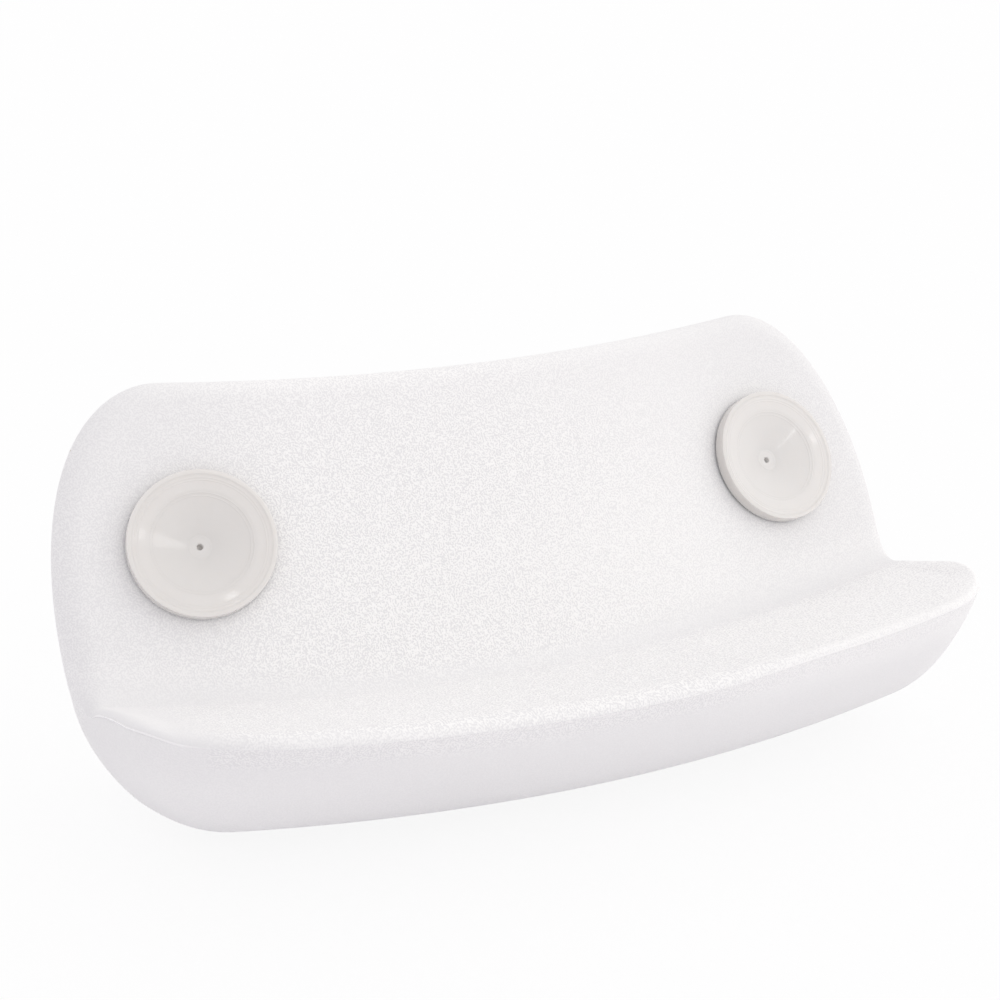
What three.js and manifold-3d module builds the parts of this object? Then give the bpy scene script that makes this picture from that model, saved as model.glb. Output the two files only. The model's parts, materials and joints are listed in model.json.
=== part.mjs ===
// A bath pillow of moulded foam that hooks over the rim of a bath, drawn as it lies in its maker's picture:
// standing on its neck roll, with its plate leaning back and both suction cups towards the viewer.
// In use the plate lies on the sloping end of the bath and the ledge on the rim. All lengths are millimetres.
import * as THREE from "three";
import { mergeVertices } from "three/addons/utils/BufferGeometryUtils.js";
import Module from "manifold-3d";

const wasm = await Module();
wasm.setup();

// The pillow's body is drawn straight, then bent. x runs along it, y up its plate from the crease, z out of
// the plate. The ledge leaves the crease at an angle, and is a little shorter than the plate at each end.
const PLATE_HEIGHT = 100.7;
const PLATE_HALF_LENGTH = 143.5;
const LEDGE_DEPTH = 72;
const LEDGE_SET_BACK = 3.5;
const LEDGE_SPLAY = THREE.MathUtils.degToRad(16);
const CREASE_RADIUS = 8;
const BOW_RADIUS = 704;
const SAG_RADIUS = 915;

// Rounded corners of the plate and of the ledge, seen square on.
const PLATE_CORNER_ALONG = 42;
const PLATE_CORNER_UP = 75;
const LEDGE_CORNER_ALONG = 36.5;
const LEDGE_CORNER_OUT = 38;

// The ledge's ends curl up: how far, along how much of each end, and from the crease to what depth.
const END_CURL_RISE = 2.2;
const END_CURL_LENGTH = 10;
const END_CURL_DEPTH = 44;

// The rounding from the plate, and from the ledge, to the parting line.
const PLATE_EDGE_RADIUS = 8;
const LEDGE_EDGE_RADIUS = 2;

// How far in from the parting line the head side reaches its full swell.
const PLATE_SWELL_WIDTH = 32;
const LEDGE_SWELL_WIDTH = 28.6;

// The head side in the middle of the pillow, as control points from behind the ledge's outer edge, round the
// neck roll and up to the plate's free edge. Each is a place up the plate and out of it.
const OUTER_FACE_END = [-42, 45];
const OUTER_FACE_MIDDLE = [-40.5, 27.5];
const ROLL_FRONT = [-39, -7.5];
const ROLL_BOTTOM = [-17, -47];
const ROLL_BACK = [5, -64.5];
const NECK_REST = [37, -42];
const HEAD_REST = [68, -25];
const HEAD_REST_END = [99, -20];

// Skins and foam.
const SKIN = 1.2;
const FIT_GAP = 0.3;

// How the pillow stands: the lean of its plate, and the flat that its foot has there.
const STAND_LEAN = THREE.MathUtils.degToRad(31.5);
const FOOT_FLAT_DEPTH = 0.5;
const CUT_OVERRUN = 20;

// Suction cups: how far their middles lie in from the plate's ends and down from its free edge, and then
// their own sizes, measured along their axis from the plate.
const CUP_INSET = 43;
const CUP_DROP = 53.4;
const CUP_DIAMETER = 45;
const LIP_RISE = 4.9;
const LIP_WIDTH = 1.4;
const LIP_STEP = 0.4;
const LIP_ROUNDING = 0.4;
const CUP_CLEARANCE = 0.5;
const SHOULDER_DIAMETER = 33;
const SHOULDER_DROP = 1.3;
const DISH_DEPTH = 6.7;
const DISH_WALL = 2;
const HUB_DIAMETER = 7.3;
const HUB_RIDGE = 0.4;
const STEM_DIAMETER = 7.3;
const STEM_LENGTH = 11;
const STEM_RIB = 0.5;
const STEM_RIBS = 3;
const CORE_HOLE_DIAMETER = 1.9;
const CORE_HOLE_DEPTH = 8;

// Sockets moulded into the foam.
const SEAT_DIAMETER = 38;
const SOCKET_WALL = 2.2;
const SOCKET_FLOOR = 2;
const STEM_CLEARANCE = 0.25;

// Grid of the body: shares of half its length and of the ledge and the plate, closer together at the edges.
// No column lies in the middle, so the ledge has a flat strip there, as wide as its first column is long.
const COLUMN_SHARES = [0.085, 0.23, 0.375, 0.515, 0.645, 0.76, 0.855, 0.92, 0.965, 0.99, 1];
const LEDGE_ROW_SHARES = [0, 0.01, 0.045, 0.12, 0.25, 0.44, 0.66, 0.85];
const CREASE_ROW_SHARES = [0, 0.33, 0.67];
const PLATE_ROW_SHARES = [0, 0.1, 0.26, 0.43, 0.6, 0.74, 0.85, 0.93, 0.975, 0.993, 1];
const LEDGE_SPAN_SHARE = 0.3;
const CREASE_SPAN_SHARE = 0.57;
const OUTLINE_STEPS = 400;
const CUP_SIDES = 32;

const mix = THREE.MathUtils.lerp;
const LEDGE_HALF_LENGTH = PLATE_HALF_LENGTH - LEDGE_SET_BACK;
const TURN = Math.PI / 2 - LEDGE_SPLAY;
const CREASE_REACH = CREASE_RADIUS * Math.tan(TURN / 2);
const MIDDLE_ANGLE = Math.PI / 4;

// The tub side in section, at a distance from the crease's corner: up the plate if positive, out along the
// ledge if negative. Gives the place and the direction out of the surface, as [y, z] pairs.
function tubSide(distance) {
  if (distance >= CREASE_REACH) return { place: [distance, 0], out: [0, 1] };
  const share = Math.min(1, (CREASE_REACH - distance) / (2 * CREASE_REACH));
  const angle = TURN * share;
  const out = [Math.sin(angle), Math.cos(angle)];
  if (share < 1) {
    const place = [CREASE_REACH - CREASE_RADIUS * out[0], CREASE_RADIUS - CREASE_RADIUS * out[1]];
    return { place, out };
  }
  return { place: [distance * out[1], -distance * out[0]], out };
}

// The same at a place along the body, with the curl of the ledge's ends.
function curledTubSide(x, distance) {
  const { place, out } = tubSide(distance);
  const along = THREE.MathUtils.smoothstep(Math.abs(x), LEDGE_HALF_LENGTH - END_CURL_LENGTH, LEDGE_HALF_LENGTH);
  const rise = END_CURL_RISE * along * THREE.MathUtils.smoothstep(-distance, 0, END_CURL_DEPTH);
  return { place: place.map((value, axis) => value + rise * out[axis]), out };
}

// The depth of the parting line under the tub side: the edge radius there.
function edgeRadius(distance) {
  const share = THREE.MathUtils.smoothstep(distance, -2 * CREASE_REACH, 2 * CREASE_REACH);
  return mix(LEDGE_EDGE_RADIUS, PLATE_EDGE_RADIUS, share);
}

function swellWidth(distance) {
  const share = THREE.MathUtils.smoothstep(distance, -LEDGE_DEPTH / 2, PLATE_HEIGHT / 2);
  return mix(LEDGE_SWELL_WIDTH, PLATE_SWELL_WIDTH, share);
}

// The body's outline on the tub side, laid flat: half its length at a distance from the crease, and the
// distance of its free edge and of the ledge's outer edge at a place along it.
const PLATE_CORNER = [PLATE_HALF_LENGTH - PLATE_CORNER_ALONG, PLATE_HEIGHT - PLATE_CORNER_UP];
const LEDGE_CORNER = [LEDGE_HALF_LENGTH - LEDGE_CORNER_ALONG, LEDGE_CORNER_OUT - LEDGE_DEPTH];

function ellipseHeight(along, halfWidth, halfHeight) {
  return halfHeight * Math.sqrt(Math.max(0, 1 - (along / halfWidth) ** 2));
}

function halfLength(distance) {
  if (distance > PLATE_CORNER[1])
    return PLATE_CORNER[0] + ellipseHeight(distance - PLATE_CORNER[1], PLATE_CORNER_UP, PLATE_CORNER_ALONG);
  if (distance < LEDGE_CORNER[1])
    return LEDGE_CORNER[0] + ellipseHeight(distance - LEDGE_CORNER[1], LEDGE_CORNER_OUT, LEDGE_CORNER_ALONG);
  const share = THREE.MathUtils.smoothstep(distance, LEDGE_CORNER[1], PLATE_CORNER[1]);
  return mix(LEDGE_HALF_LENGTH, PLATE_HALF_LENGTH, share);
}

function freeEdge(x) {
  const past = Math.max(0, Math.abs(x) - PLATE_CORNER[0]);
  return PLATE_CORNER[1] + ellipseHeight(past, PLATE_CORNER_ALONG, PLATE_CORNER_UP);
}

function outerEdge(x) {
  const past = Math.max(0, Math.abs(x) - LEDGE_CORNER[0]);
  return LEDGE_CORNER[1] - ellipseHeight(past, LEDGE_CORNER_ALONG, LEDGE_CORNER_OUT);
}

// The middles of the rounded corners, where the grid has its own corners.
const PLATE_CORNER_MIDDLE = [
  PLATE_CORNER[0] + PLATE_CORNER_ALONG * Math.cos(MIDDLE_ANGLE),
  PLATE_CORNER[1] + PLATE_CORNER_UP * Math.sin(MIDDLE_ANGLE),
];
const LEDGE_CORNER_MIDDLE = [
  LEDGE_CORNER[0] + LEDGE_CORNER_ALONG * Math.cos(MIDDLE_ANGLE),
  LEDGE_CORNER[1] - LEDGE_CORNER_OUT * Math.sin(MIDDLE_ANGLE),
];

// Half the outline as a fine chain, to measure how far in a place lies.
function outlineChain() {
  const chain = [];
  for (let k = 0; k <= OUTLINE_STEPS; k++) {
    const share = k / OUTLINE_STEPS;
    chain.push([share * LEDGE_CORNER_MIDDLE[0], outerEdge(share * LEDGE_CORNER_MIDDLE[0])]);
  }
  for (let k = 0; k <= OUTLINE_STEPS; k++) {
    const distance = mix(LEDGE_CORNER_MIDDLE[1], PLATE_CORNER_MIDDLE[1], k / OUTLINE_STEPS);
    chain.push([halfLength(distance), distance]);
  }
  for (let k = OUTLINE_STEPS; k >= 0; k--) {
    const share = k / OUTLINE_STEPS;
    chain.push([share * PLATE_CORNER_MIDDLE[0], freeEdge(share * PLATE_CORNER_MIDDLE[0])]);
  }
  return chain;
}

const OUTLINE = outlineChain();

function distanceInside(x, distance) {
  let least = Infinity;
  for (let k = 1; k < OUTLINE.length; k++) {
    const [ax, ay] = OUTLINE[k - 1];
    const [bx, by] = OUTLINE[k];
    const length = (bx - ax) ** 2 + (by - ay) ** 2;
    const along = length ? ((Math.abs(x) - ax) * (bx - ax) + (distance - ay) * (by - ay)) / length : 0;
    const share = THREE.MathUtils.clamp(along, 0, 1);
    least = Math.min(least, Math.hypot(Math.abs(x) - mix(ax, bx, share), distance - mix(ay, by, share)));
  }
  return least;
}

// A smooth curve near control points, from the first to the last.
function smoothCurve(points, share) {
  const spans = points.length - 1;
  const span = Math.min(spans - 1, Math.floor(share * spans));
  const t = share * spans - span;
  const at = (k) => {
    if (k < 0) return points[0].map((value, axis) => 2 * value - points[1][axis]);
    if (k > spans) return points[spans].map((value, axis) => 2 * value - points[spans - 1][axis]);
    return points[k];
  };
  const weights = [(1 - t) ** 3, 3 * t ** 3 - 6 * t ** 2 + 4, -3 * t ** 3 + 3 * t ** 2 + 3 * t + 1, t ** 3];
  return [0, 1].map((axis) => weights.reduce((sum, w, k) => sum + (w * at(span - 1 + k)[axis]) / 6, 0));
}

const HEAD_SIDE = [
  OUTER_FACE_END,
  OUTER_FACE_MIDDLE,
  ROLL_FRONT,
  ROLL_BOTTOM,
  ROLL_BACK,
  NECK_REST,
  HEAD_REST,
  HEAD_REST_END,
];

// The grid's rows: each has its distance from the crease in the middle of the pillow and at its ends, its share
// of the way along the head side, and how far it bends to the free edge or the outer edge.
function gridRows() {
  const ledge = LEDGE_ROW_SHARES.map((share) => ({
    middle: mix(-LEDGE_DEPTH, -CREASE_REACH, share),
    end: mix(LEDGE_CORNER_MIDDLE[1], -CREASE_REACH, share),
    head: LEDGE_SPAN_SHARE * share,
    toOuterEdge: 1 - share,
    toFreeEdge: 0,
  }));
  const crease = CREASE_ROW_SHARES.map((share) => ({
    middle: mix(-CREASE_REACH, CREASE_REACH, share),
    end: mix(-CREASE_REACH, CREASE_REACH, share),
    head: mix(LEDGE_SPAN_SHARE, CREASE_SPAN_SHARE, share),
    toOuterEdge: 0,
    toFreeEdge: 0,
  }));
  const plate = PLATE_ROW_SHARES.map((share) => ({
    middle: mix(CREASE_REACH, PLATE_HEIGHT, share),
    end: mix(CREASE_REACH, PLATE_CORNER_MIDDLE[1], share),
    head: mix(CREASE_SPAN_SHARE, 1, share),
    toOuterEdge: 0,
    toFreeEdge: share,
  }));
  return [...ledge, ...crease, ...plate];
}

function bend(x, y, z) {
  return new THREE.Vector3(x, y + x ** 2 / (2 * BOW_RADIUS), z - x ** 2 / (2 * SAG_RADIUS));
}

// The places of one grid node on the tub side and on the head side. At the edge both lie on the parting line.
function bodyNode(share, row, onEdge) {
  const side = Math.sign(share);
  const x = share * halfLength(row.end);
  const alongFreeEdge = freeEdge(share * PLATE_CORNER_MIDDLE[0]) - PLATE_CORNER_MIDDLE[1];
  const alongOuterEdge = outerEdge(share * LEDGE_CORNER_MIDDLE[0]) - LEDGE_CORNER_MIDDLE[1];
  const distance = row.end + row.toFreeEdge * alongFreeEdge + row.toOuterEdge * alongOuterEdge;
  const inside = onEdge ? 0 : distanceInside(side * x, distance);
  const { place, out } = curledTubSide(x, distance);
  const radius = edgeRadius(distance);
  const rounding = Math.max(0, 1 - inside / radius);
  const drop = radius * (1 - Math.sqrt(1 - rounding ** 2));
  const slack = Math.max(0, 1 - inside / swellWidth(distance));
  const swell = Math.sqrt(1 - slack ** 2);
  const middle = tubSide(row.middle);
  const middleRadius = edgeRadius(row.middle);
  const full = smoothCurve(HEAD_SIDE, row.head);
  const head = [0, 1].map((axis) => {
    const parting = place[axis] - radius * out[axis];
    return parting + swell * (full[axis] - middle.place[axis] + middleRadius * out[axis]);
  });
  return {
    tub: bend(x, place[0] - drop * out[0], place[1] - drop * out[1]),
    head: bend(x, head[0], head[1]),
    out: new THREE.Vector3(0, out[0], out[1]),
    onEdge,
  };
}

// The whole grid, as columns of rows, with the direction out of each side at every node.
function bodyGrid() {
  const mirrored = COLUMN_SHARES.map((share) => -share);
  const shares = [...mirrored.reverse(), ...COLUMN_SHARES];
  const rows = gridRows();
  const last = [shares.length - 1, rows.length - 1];
  const grid = shares.map((share, i) =>
    rows.map((row, j) => bodyNode(share, row, i === 0 || j === 0 || i === last[0] || j === last[1])),
  );
  const closed = closedBody(grid.map((column) => column.map((node) => [node.tub, node.head])));
  closed.geometry.computeVertexNormals();
  const normals = closed.geometry.getAttribute("normal");
  grid.forEach((column, i) =>
    column.forEach((node, j) => {
      node.tubNormal = new THREE.Vector3().fromBufferAttribute(normals, closed.tubIndex(i, j));
      node.headNormal = new THREE.Vector3().fromBufferAttribute(normals, closed.headIndex(i, j));
    }),
  );
  return grid;
}

function geometryOf(vertices, triangles) {
  const geometry = new THREE.BufferGeometry();
  geometry.setAttribute("position", new THREE.Float32BufferAttribute(vertices.flatMap((v) => v.toArray()), 3));
  geometry.setIndex(triangles.flat());
  return geometry;
}

function quad(a, b, c, d) {
  return [
    [a, b, c],
    [a, c, d],
  ];
}

// A closed body from pairs of places: the tub side faces out, and the head side meets it at the edge.
function closedBody(pairs) {
  const columns = pairs.length;
  const rows = pairs[0].length;
  const vertices = [];
  const tub = pairs.map((column) => column.map((pair) => vertices.push(pair[0]) - 1));
  const head = pairs.map((column, i) =>
    column.map((pair, j) => {
      const onEdge = i === 0 || j === 0 || i === columns - 1 || j === rows - 1;
      return onEdge ? tub[i][j] : vertices.push(pair[1]) - 1;
    }),
  );
  const triangles = [];
  for (let i = 1; i < columns; i++)
    for (let j = 1; j < rows; j++) {
      triangles.push(...quad(tub[i - 1][j - 1], tub[i][j - 1], tub[i][j], tub[i - 1][j]));
      triangles.push(...quad(head[i - 1][j], head[i][j], head[i][j - 1], head[i - 1][j - 1]));
    }
  return {
    geometry: geometryOf(vertices, triangles),
    tubIndex: (i, j) => tub[i][j],
    headIndex: (i, j) => head[i][j],
  };
}

// A shell between an outer and an inner grid, closed along its edge. The head side's faces are reversed.
function shell(outer, inner, reversed) {
  const columns = outer.length;
  const rows = outer[0].length;
  const vertices = [...outer.flat(), ...inner.flat()];
  const outerIndex = (i, j) => i * rows + j;
  const innerIndex = (i, j) => (columns + i) * rows + j;
  const triangles = [];
  for (let i = 1; i < columns; i++)
    for (let j = 1; j < rows; j++) {
      triangles.push(
        ...quad(outerIndex(i - 1, j - 1), outerIndex(i, j - 1), outerIndex(i, j), outerIndex(i - 1, j)),
      );
      triangles.push(
        ...quad(innerIndex(i - 1, j), innerIndex(i, j), innerIndex(i, j - 1), innerIndex(i - 1, j - 1)),
      );
    }
  const loop = [];
  for (let i = 0; i < columns - 1; i++) loop.push([i, 0]);
  for (let j = 0; j < rows - 1; j++) loop.push([columns - 1, j]);
  for (let i = columns - 1; i > 0; i--) loop.push([i, rows - 1]);
  for (let j = rows - 1; j > 0; j--) loop.push([0, j]);
  loop.forEach((a, k) => {
    const b = loop[(k + 1) % loop.length];
    triangles.push(...quad(outerIndex(...b), outerIndex(...a), innerIndex(...a), innerIndex(...b)));
  });
  return geometryOf(vertices, reversed ? triangles.map((triangle) => triangle.reverse()) : triangles);
}

function solidOf(geometry) {
  const bare = geometry.clone();
  bare.deleteAttribute("normal");
  bare.deleteAttribute("uv");
  const merged = mergeVertices(bare);
  return new wasm.Manifold(
    new wasm.Mesh({
      numProp: 3,
      vertProperties: new Float32Array(merged.getAttribute("position").array),
      triVerts: new Uint32Array(merged.index.array),
    }),
  );
}

function geometryFrom(solid) {
  const mesh = solid.getMesh();
  const geometry = new THREE.BufferGeometry();
  geometry.setAttribute("position", new THREE.BufferAttribute(new Float32Array(mesh.vertProperties), 3));
  geometry.setIndex(new THREE.BufferAttribute(new Uint32Array(mesh.triVerts), 1));
  return geometry;
}

// Sizes of the cups and their sockets that follow from the named ones, along the cup's axis from the plate.
const CUP_RADIUS = CUP_DIAMETER / 2;
const HUB_LEVEL = LIP_RISE - DISH_DEPTH;
const STEM_TOP = HUB_LEVEL - DISH_WALL;
const STEM_END = STEM_TOP - STEM_LENGTH;
const RIB_RADIUS = STEM_DIAMETER / 2 + STEM_RIB;
const BORE_RADIUS = RIB_RADIUS + STEM_CLEARANCE;
const SEAT_RADIUS = SEAT_DIAMETER / 2;
const SEAT_LEVEL = STEM_TOP - FIT_GAP;
const SOCKET_RADIUS = BORE_RADIUS + SOCKET_WALL;
const BORE_END = STEM_END - STEM_CLEARANCE;
const SOCKET_END = BORE_END - SOCKET_FLOOR;

function turned(profile, sides) {
  const points = profile.map(([radius, level]) => new THREE.Vector2(radius, level));
  return new THREE.LatheGeometry(points, sides).rotateX(Math.PI / 2);
}

// One cup: a ribbed stem, a conical dish with a hub round its core hole, and a stepped lip.
function cupProfile() {
  const pitch = STEM_LENGTH / (STEM_RIBS + 1);
  const stem = [];
  for (let k = 0; k < STEM_RIBS; k++) {
    const low = STEM_END + pitch * (k + 1 / 2);
    stem.push([STEM_DIAMETER / 2, low], [RIB_RADIUS, low + pitch / 2], [STEM_DIAMETER / 2, low + pitch / 2]);
  }
  const shoulder = SHOULDER_DIAMETER / 2;
  const hub = HUB_DIAMETER / 2;
  const core = CORE_HOLE_DIAMETER / 2;
  return [
    [0, STEM_END],
    [STEM_DIAMETER / 2 - STEM_RIB, STEM_END],
    ...stem,
    [STEM_DIAMETER / 2, STEM_TOP],
    [RIB_RADIUS + DISH_WALL / 2, STEM_TOP],
    [SEAT_RADIUS - DISH_WALL / 2, CUP_CLEARANCE],
    [CUP_RADIUS - LIP_ROUNDING, CUP_CLEARANCE],
    [CUP_RADIUS, CUP_CLEARANCE + LIP_ROUNDING],
    [CUP_RADIUS, LIP_RISE - LIP_ROUNDING],
    [CUP_RADIUS - LIP_ROUNDING / 2, LIP_RISE],
    [CUP_RADIUS - LIP_WIDTH, LIP_RISE],
    [CUP_RADIUS - LIP_WIDTH - LIP_STEP, LIP_RISE - LIP_STEP],
    [shoulder, LIP_RISE - SHOULDER_DROP],
    [hub + HUB_RIDGE, HUB_LEVEL],
    [hub, HUB_LEVEL + HUB_RIDGE],
    [hub - HUB_RIDGE, HUB_LEVEL],
    [core, HUB_LEVEL],
    [core, HUB_LEVEL - CORE_HOLE_DEPTH],
    [0, HUB_LEVEL - CORE_HOLE_DEPTH],
  ];
}

// One socket: a dished seat under the cup and a blind barrel for its stem. Its outside is also what the foam
// and the skin are cut to, grown by the gap between them.
function socketOutside(grow) {
  return [
    [0, SOCKET_END - grow],
    [SOCKET_RADIUS + grow, SOCKET_END - grow],
    [SOCKET_RADIUS + grow, SEAT_LEVEL - SOCKET_WALL - grow],
    [SEAT_RADIUS + grow, -SOCKET_WALL - grow],
  ];
}

function socketProfile() {
  return [
    ...socketOutside(0),
    [SEAT_RADIUS, 0],
    [SEAT_RADIUS - DISH_WALL / 2 + FIT_GAP, 0],
    [RIB_RADIUS + DISH_WALL / 2 + FIT_GAP, SEAT_LEVEL],
    [BORE_RADIUS, SEAT_LEVEL],
    [BORE_RADIUS, BORE_END],
    [0, BORE_END],
  ];
}

function socketCut() {
  return [...socketOutside(FIT_GAP), [SEAT_RADIUS + FIT_GAP, CUT_OVERRUN], [0, CUT_OVERRUN]];
}

// A group at a cup's place on the plate, turned so that its z axis leaves the plate there.
function cupGroup(side) {
  const group = new THREE.Group();
  const x = side * (PLATE_HALF_LENGTH - CUP_INSET);
  group.position.copy(bend(x, PLATE_HEIGHT - CUP_DROP, 0));
  group.rotation.y = Math.atan(x / SAG_RADIUS);
  group.updateMatrix();
  return group;
}

const SIDES = { left: -1, right: 1 };
const GRID = bodyGrid();

// One side's skin, from the parting line inwards, and half the gap clear of the other side's.
function skinGeometry(placeName, normalName, side) {
  const shifted = (node, depth) => {
    const place = node[placeName].clone().addScaledVector(node[normalName], -depth);
    return node.onEdge ? place.addScaledVector(node.out, (side * FIT_GAP) / 2) : place;
  };
  const outer = GRID.map((column) => column.map((node) => shifted(node, 0)));
  const inner = GRID.map((column) => column.map((node) => shifted(node, SKIN)));
  return shell(outer, inner, side < 0);
}

function cutSockets(solid) {
  const tool = turned(socketCut(), CUP_SIDES);
  let cut = solid;
  for (const side of Object.values(SIDES))
    cut = cut.subtract(solidOf(tool.clone().applyMatrix4(cupGroup(side).matrix)));
  return geometryFrom(cut);
}

function backSkin() {
  return cutSockets(solidOf(skinGeometry("tub", "tubNormal", 1)));
}

// The head side's skin, with the flat that the pillow stands on.
function frontSkin() {
  const skin = solidOf(skinGeometry("head", "headNormal", -1));
  const standing = new THREE.Matrix4().makeRotationX(Math.PI / 2 - STAND_LEAN);
  const box = new THREE.Box3();
  GRID.flat().forEach((node) => box.expandByPoint(node.head.clone().applyMatrix4(standing)));
  const size = box.getSize(new THREE.Vector3()).addScalar(2 * CUT_OVERRUN);
  const centre = box.getCenter(new THREE.Vector3());
  const floor = new THREE.BoxGeometry(size.x, size.y, size.z);
  floor.translate(centre.x, centre.y, box.min.z + FOOT_FLAT_DEPTH - size.z / 2);
  return geometryFrom(skin.subtract(solidOf(floor.applyMatrix4(standing.clone().invert()))));
}

function foamCore() {
  const pairs = GRID.map((column) =>
    column.map((node) => [
      node.tub.clone().addScaledVector(node.tubNormal, -SKIN - FIT_GAP),
      node.head.clone().addScaledVector(node.headNormal, -SKIN - FIT_GAP),
    ]),
  );
  return cutSockets(solidOf(closedBody(pairs).geometry));
}

const LEATHERY_SKIN = new THREE.MeshStandardMaterial({ color: 0xf2f1ef, roughness: 0.55, metalness: 0 });
const FOAM = new THREE.MeshStandardMaterial({ color: 0xe9e4d6, roughness: 0.95, metalness: 0 });
const SOCKET_PLASTIC = new THREE.MeshStandardMaterial({ color: 0xf0f0ee, roughness: 0.5, metalness: 0 });
const CUP_VINYL = new THREE.MeshStandardMaterial({ color: 0xdcd9d5, roughness: 0.2, metalness: 0 });

function named(name, geometry, material) {
  const mesh = new THREE.Mesh(geometry, material);
  mesh.name = name;
  return mesh;
}

const body = new THREE.Group();
body.add(named("back_skin", backSkin(), LEATHERY_SKIN));
body.add(named("front_skin", frontSkin(), LEATHERY_SKIN));
body.add(named("foam_core", foamCore(), FOAM));
for (const [side, sign] of Object.entries(SIDES)) {
  const group = cupGroup(sign);
  group.add(named("cup_socket_" + side, turned(socketProfile(), CUP_SIDES), SOCKET_PLASTIC));
  group.add(named("suction_cup_" + side, turned(cupProfile(), CUP_SIDES), CUP_VINYL));
  body.add(group);
}

// The pillow stands up, and its frame starts under the middle of its box, on the surface that it stands on.
const pillow = new THREE.Group();
body.rotation.x = Math.PI / 2 - STAND_LEAN;
pillow.add(body);
const extent = new THREE.Box3().setFromObject(pillow, true);
const middle = extent.getCenter(new THREE.Vector3());
body.position.set(-middle.x, -middle.y, -extent.min.z);

export default pillow;
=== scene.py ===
"""The looks of a bath pillow of moulded foam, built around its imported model.

The pillow stands on its neck roll, with its plate leaning back and both suction cups towards the viewer.
All lengths are metres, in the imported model's frame: +X along the pillow, +Y away from the viewer, +Z up.
The pillow's body is drawn straight and then bent, in coordinates of its own: x along it, y up its plate
from the crease, z out of the plate.
"""

import json
import math

import bpy
import numpy as np
from mathutils import Matrix, Vector


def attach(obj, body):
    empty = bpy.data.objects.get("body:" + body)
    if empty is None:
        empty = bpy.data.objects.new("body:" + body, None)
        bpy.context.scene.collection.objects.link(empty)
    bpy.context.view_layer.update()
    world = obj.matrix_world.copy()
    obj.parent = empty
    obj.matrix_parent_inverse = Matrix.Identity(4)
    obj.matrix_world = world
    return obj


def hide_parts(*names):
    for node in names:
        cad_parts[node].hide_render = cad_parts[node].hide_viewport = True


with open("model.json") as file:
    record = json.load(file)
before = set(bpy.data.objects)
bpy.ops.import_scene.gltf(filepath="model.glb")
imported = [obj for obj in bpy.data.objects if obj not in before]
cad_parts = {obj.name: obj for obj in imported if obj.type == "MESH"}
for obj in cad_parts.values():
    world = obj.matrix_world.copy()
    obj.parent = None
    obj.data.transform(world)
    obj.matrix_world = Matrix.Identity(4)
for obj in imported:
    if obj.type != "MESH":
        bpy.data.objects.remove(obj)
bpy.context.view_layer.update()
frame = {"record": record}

# Sizes of the body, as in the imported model. From OUTER_FACE_END on, they are places [y, z] in section that
# the head side's curve runs close to, from the ledge's edge round the neck roll to the plate's edge.
PLATE_HEIGHT = 0.1007
PLATE_HALF_LENGTH = 0.1435
LEDGE_DEPTH = 0.072
LEDGE_SET_BACK = 0.0035
LEDGE_SPLAY = math.radians(16)
CREASE_RADIUS = 0.008
BOW_RADIUS = 0.704
SAG_RADIUS = 0.915
PLATE_CORNER_ALONG = 0.042
PLATE_CORNER_UP = 0.075
LEDGE_CORNER_ALONG = 0.0365
LEDGE_CORNER_OUT = 0.038
END_CURL_RISE = 0.0022
END_CURL_LENGTH = 0.01
END_CURL_DEPTH = 0.044
PLATE_EDGE_RADIUS = 0.008
LEDGE_EDGE_RADIUS = 0.002
PLATE_SWELL_WIDTH = 0.032
LEDGE_SWELL_WIDTH = 0.0286
SKIN = 0.0012
FIT_GAP = 0.0003
STAND_LEAN = math.radians(31.5)
OUTER_FACE_END = (-0.042, 0.045)
OUTER_FACE_MIDDLE = (-0.0405, 0.0275)
ROLL_FRONT = (-0.039, -0.0075)
ROLL_BOTTOM = (-0.017, -0.047)
ROLL_BACK = (0.005, -0.0645)
NECK_REST = (0.037, -0.042)
HEAD_REST = (0.068, -0.025)
HEAD_REST_END = (0.099, -0.02)

# The parting line: the gap between the skins, and the fine bead of skin along it with a groove beside it.
# They show round both ends of the ledge and along its right half, and fade away elsewhere.
PARTING_GAP = 0.00006
BEAD_RADIUS = 0.0003
BEAD_LEAST_RADIUS = 0.00004
BEAD_SUNK_SHARE = 0.35
BEAD_END_START = 0.127
BEAD_END_FULL = 0.131
BEAD_RIGHT_START = 0.03
BEAD_RIGHT_FULL = 0.06
BEAD_CREASE_START = 0.003
BEAD_CREASE_FULL = 0.01
GROOVE_DEPTH = 0.0003
GROOVE_WIDTH = 0.0006

# The ledge's outer edge is softer from its left end to its middle: how far it rolls down and in, where along
# the ledge it turns crisp, and how far out from the crease it is soft.
SOFT_EDGE_DEPTH = 0.0038
SOFT_EDGE_WIDTH = 0.007
SOFT_EDGE_END = (0.01, 0.06)
SOFT_EDGE_OUT = (0.012, 0.045)

# Which way each cup lies from the pillow's middle.
SIDES = {"left": -1, "right": 1}

# Sizes of the cups and their sockets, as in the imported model, and how far the sockets' cuts run out over
# the plate.
CUP_INSET = 0.043
CUP_DROP = 0.0534
CUP_DIAMETER = 0.045
LIP_RISE = 0.0049
LIP_WIDTH = 0.0014
LIP_STEP = 0.0004
LIP_ROUNDING = 0.0004
CUP_CLEARANCE = 0.0005
SHOULDER_DIAMETER = 0.033
SHOULDER_DROP = 0.0013
DISH_DEPTH = 0.0067
DISH_WALL = 0.002
HUB_DIAMETER = 0.0073
HUB_RIDGE = 0.0004
STEM_DIAMETER = 0.0073
STEM_LENGTH = 0.011
STEM_RIB = 0.0005
STEM_RIBS = 3
CORE_HOLE_DIAMETER = 0.0019
SEAT_DIAMETER = 0.038
SOCKET_WALL = 0.0022
SOCKET_FLOOR = 0.002
STEM_CLEARANCE = 0.00025
CUT_OVERRUN = 0.02

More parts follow.
